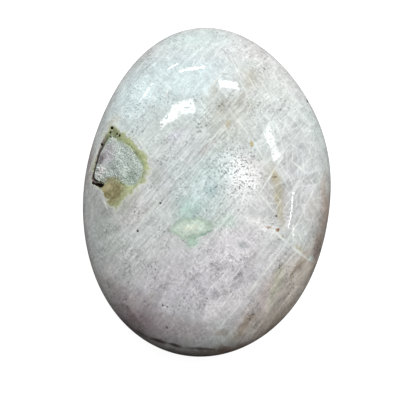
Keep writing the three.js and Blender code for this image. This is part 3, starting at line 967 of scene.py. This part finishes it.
def pit_colour(graph, colour, here, frayed):
    """The pit's olive bank and amber ramp, with painted shade in its crevice and holes, over the
    stone's colour.
    """
    inside = graph.attribute("inside_rim")
    wall = graph.attribute("wall")
    hole = graph.attribute("hole")
    stir = graph.noise(here, 1.4, 3).outputs["Fac"]
    mottle = graph.noise(here, 0.5, 4, 0.7).outputs["Fac"]
    away = graph.maths("ADD", inside, graph.ramp(stir, 0.3, 0.7, -0.5, 0.5))
    colour = graph.mix(graph.ramp(away, -0.9, -0.1, 0, 0.55), colour, tone(224, 225, 217))
    olive = graph.mix(graph.ramp(mottle, 0.35, 0.65), tone(146, 154, 110), tone(178, 186, 146))
    bank = region(graph, here, Spot(-13.4, 5.6, 8.5, 4, -56, 1, 0.5))
    bank = scaled(graph, bank, graph.ramp(away, -0.45, 0, 0, 0.5))
    colour = graph.mix(bank, colour, tone(190, 200, 154))
    # Painted light: where the upper right bank faces away from the light, its olive is painted lighter
    # against its own shade
    shaded = region(graph, here, Spot(-13, 6.2, 8, 2.6, -52, 0.9, 0.5))
    shaded = scaled(graph, shaded, graph.ramp(wall, 0, 0.3))
    painted_light_olive = graph.mix(graph.ramp(mottle, 0.3, 0.7), tone(214, 228, 158), tone(242, 248, 202))
    olive = graph.mix(shaded, olive, painted_light_olive)
    colour = graph.mix(graph.ramp(away, -0.5, 0.5, 0, 0.95), colour, olive)
    brown = graph.mix(graph.ramp(mottle, 0.3, 0.7), tone(94, 86, 52), tone(140, 130, 88))
    pale = region(graph, frayed, Spot(-19.2, -0.4, 1.6, 1.3, 40, 0.6, 0.9))
    brown = graph.mix(pale, brown, tone(172, 160, 120))
    amber = region(graph, frayed, Spot(-18, -0.9, 4.6, 3.6, 80, 0.95, 0.6))
    amber = scaled(graph, amber, graph.ramp(away, -0.2, 0.3))
    colour = graph.mix(amber, colour, brown)
    grey = region(graph, frayed, Spot(-21.6, 4.6, 7.5, 2.4, 78, 0.95, 0.4))
    grey = scaled(graph, grey, graph.ramp(inside, -0.1, 0.1))
    colour = graph.mix(grey, colour, tone(168, 156, 152))
    # Painted shade in the narrow crevice at the foot of the steep left bank, darker down the wall
    dark = region(graph, here, Spot(-20.9, 3.6, 6.2, 0.6, 79, 0.5, 0.6))
    dark = scaled(graph, dark, graph.ramp(wall, 0.2, 0.7))
    colour = graph.mix(scaled(graph, dark, graph.ramp(mottle, 0.4, 0.55)), colour, tone(52, 42, 38))
    # Painted shade in the holes, darker where they go deeper
    return graph.mix(graph.ramp(hole, 0.1, 0.5, 0, 0.95), colour, tone(44, 33, 26))


def make_crust_material():
    """Sugary crystals: greenish white, lilac grey at upper left and white at lower left."""
    graph = Graph("druse")
    here = graph.place()
    frayed = graph.warped(here, 1.2, 1)
    own = graph.attribute("own_tone")
    colour = graph.mix(graph.ramp(own, 0, 1), tone(158, 172, 165), tone(216, 225, 219))
    for patch in (
        Patch(-19.3, 5.6, 4.2, 2.4, 70, (194, 188, 194), 0.85, 0.9),
        # A painted shadow where the crust lies deep against the steep bank
        Patch(-20.3, 5.2, 1.9, 1.1, 60, (96, 88, 90), 0.85, 0.9),
        Patch(-20.4, 2.6, 1.9, 1.1, 60, (222, 220, 220), 0.85),
        Patch(-14.6, 1.2, 2.8, 1.7, 50, (146, 162, 148), 0.7, 0.9),
        Patch(-18.6, 3.6, 2, 1.6, 0, (168, 176, 172), 0.6, 0.9),
        Patch(-18.3, 0.9, 2.6, 1, 0, (130, 122, 84), 0.9, 0.8),
    ):
        colour = painted(graph, colour, frayed, patch)
    from_edge = graph.attribute("from_edge")
    olive = region(graph, here, Spot(-14.5, 3, 10, 5.5, 110, 1, 0.4))
    olive = scaled(graph, olive, graph.ramp(from_edge, 0.8, -0.3, 0, 0.9))
    colour = graph.mix(olive, colour, tone(186, 197, 150))
    grain = graph.noise(here, 0.3, 3, 0.7).outputs["Fac"]
    colour = graph.mix(graph.ramp(grain, 0.5, 0.8, 0, 0.5), colour, tone(250, 252, 250))
    inputs = {"Base Color": colour, "Roughness": CRYSTAL_ROUGHNESS, "IOR": STONE_IOR}
    return graph.finish(graph.add("ShaderNodeBsdfPrincipled", inputs).outputs[0])


# Stage


def direction(bearing, elevation):
    """The way to something, by its bearing from +Y towards +X and its elevation."""
    flat = cos(radians(elevation))
    return Vector((flat * sin(radians(bearing)), flat * cos(radians(bearing)), sin(radians(elevation))))


def add_camera():
    """The camera that frames the stone as the photo does."""
    camera = bpy.data.objects.new("camera", bpy.data.cameras.new("camera"))
    bpy.context.collection.objects.link(camera)
    back = direction(180, CAMERA_ELEVATION)
    camera.location = (Vector(CAMERA_TARGET) + back * CAMERA_DISTANCE) * MM
    camera.rotation_euler = back.to_track_quat("Z", "Y").to_euler()
    camera.data.lens = CAMERA_LENS
    camera.data.clip_start = 0.01
    bpy.context.scene.camera = camera


def add_lamps():
    """The lamps and windows that the polish mirrors."""
    for lamp in LAMPS:
        data = bpy.data.lights.new(lamp.name, "AREA")
        data.shape = "RECTANGLE"
        data.size = 2 * LAMP_DISTANCE * MM * np.tan(radians(lamp.width / 2))
        data.size_y = 2 * LAMP_DISTANCE * MM * np.tan(radians(lamp.height / 2))
        data.energy = lamp.brightness * pi * data.size * data.size_y
        away = direction(lamp.bearing, lamp.elevation)
        light = bpy.data.objects.new(lamp.name, data)
        bpy.context.collection.objects.link(light)
        light.location = (Vector((0, 0, GIRDLE_Z)) + away * LAMP_DISTANCE) * MM
        aim = away.to_track_quat("Z", "Y")
        light.rotation_euler = aim.to_euler()
        light.rotation_euler.rotate_axis("Z", radians(lamp.turn))


def add_world():
    """A soft studio, brightest high up behind the stone, and dark towards the camera."""
    world = bpy.data.worlds.new("studio")
    bpy.context.scene.world = world
    world.use_nodes = True
    tree = world.node_tree
    way = tree.nodes.new("ShaderNodeTexCoord").outputs["Generated"]
    facing = tree.nodes.new("ShaderNodeVectorMath")
    facing.operation = "DOT_PRODUCT"
    facing.inputs[1].default_value = direction(WORLD_BEARING, WORLD_ELEVATION)
    strength = tree.nodes.new("ShaderNodeMapRange")
    strength.interpolation_type = "SMOOTHSTEP"
    strength.inputs["From Min"].default_value = WORLD_DARK_AT
    strength.inputs["From Max"].default_value = WORLD_BRIGHT_AT
    strength.inputs["To Min"].default_value = WORLD_DARK
    strength.inputs["To Max"].default_value = WORLD_BRIGHT
    tree.links.new(way, facing.inputs[0])
    tree.links.new(facing.outputs["Value"], strength.inputs["Value"])
    tree.links.new(strength.outputs[0], tree.nodes["Background"].inputs["Strength"])
    tree.nodes["Background"].inputs["Color"].default_value = (1, 1, 1, 1)


def add_floor():
    """A white floor, which the stone mirrors as dim on the camera's side."""
    half = FLOOR_SIZE / 2
    points = np.array([(-half, -half, 0), (half, -half, 0), (half, half, 0), (-half, half, 0)])
    floor = mesh_piece("floor", points, np.array([(0, 1, 2, 3)]), smooth=False)
    graph = Graph("floor")
    seen = graph.add("ShaderNodeLightPath", {}).outputs["Is Camera Ray"]
    along = graph.add("ShaderNodeSeparateXYZ", {0: graph.place()}).outputs["Y"]
    shade = graph.mix(graph.ramp(along, -30, 60), FLOOR_NEAR, FLOOR_FAR)
    mirrored = graph.add("ShaderNodeBsdfDiffuse", {"Color": shade}).outputs[0]
    pale = graph.add("ShaderNodeBsdfDiffuse", {"Color": FLOOR_FAR}).outputs[0]
    glow = graph.add("ShaderNodeEmission", {"Color": (1, 1, 1, 1), "Strength": FLOOR_GLOW}).outputs[0]
    white = graph.add("ShaderNodeAddShader", {0: pale, 1: glow}).outputs[0]
    surface = graph.add("ShaderNodeMixShader", {0: seen, 1: mirrored, 2: white}).outputs[0]
    floor.data.materials.append(graph.finish(surface))


# Assembly

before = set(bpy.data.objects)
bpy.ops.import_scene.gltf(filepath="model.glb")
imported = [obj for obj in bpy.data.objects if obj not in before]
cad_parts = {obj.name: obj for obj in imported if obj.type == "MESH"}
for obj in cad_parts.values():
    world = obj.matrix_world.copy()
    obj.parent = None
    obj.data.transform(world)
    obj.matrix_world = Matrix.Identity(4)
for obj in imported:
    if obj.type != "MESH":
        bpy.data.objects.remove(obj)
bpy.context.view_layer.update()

stone = make_stone()
stone.data.materials.append(make_stone_material())
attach(stone, "root")
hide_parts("stone")

crust = make_crust()
crust.data.materials.append(make_crust_material())
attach(crust, "root")
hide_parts("druzy_crust")

add_floor()
add_lamps()
add_world()
add_camera()
bpy.context.scene.view_settings.view_transform = "Standard"
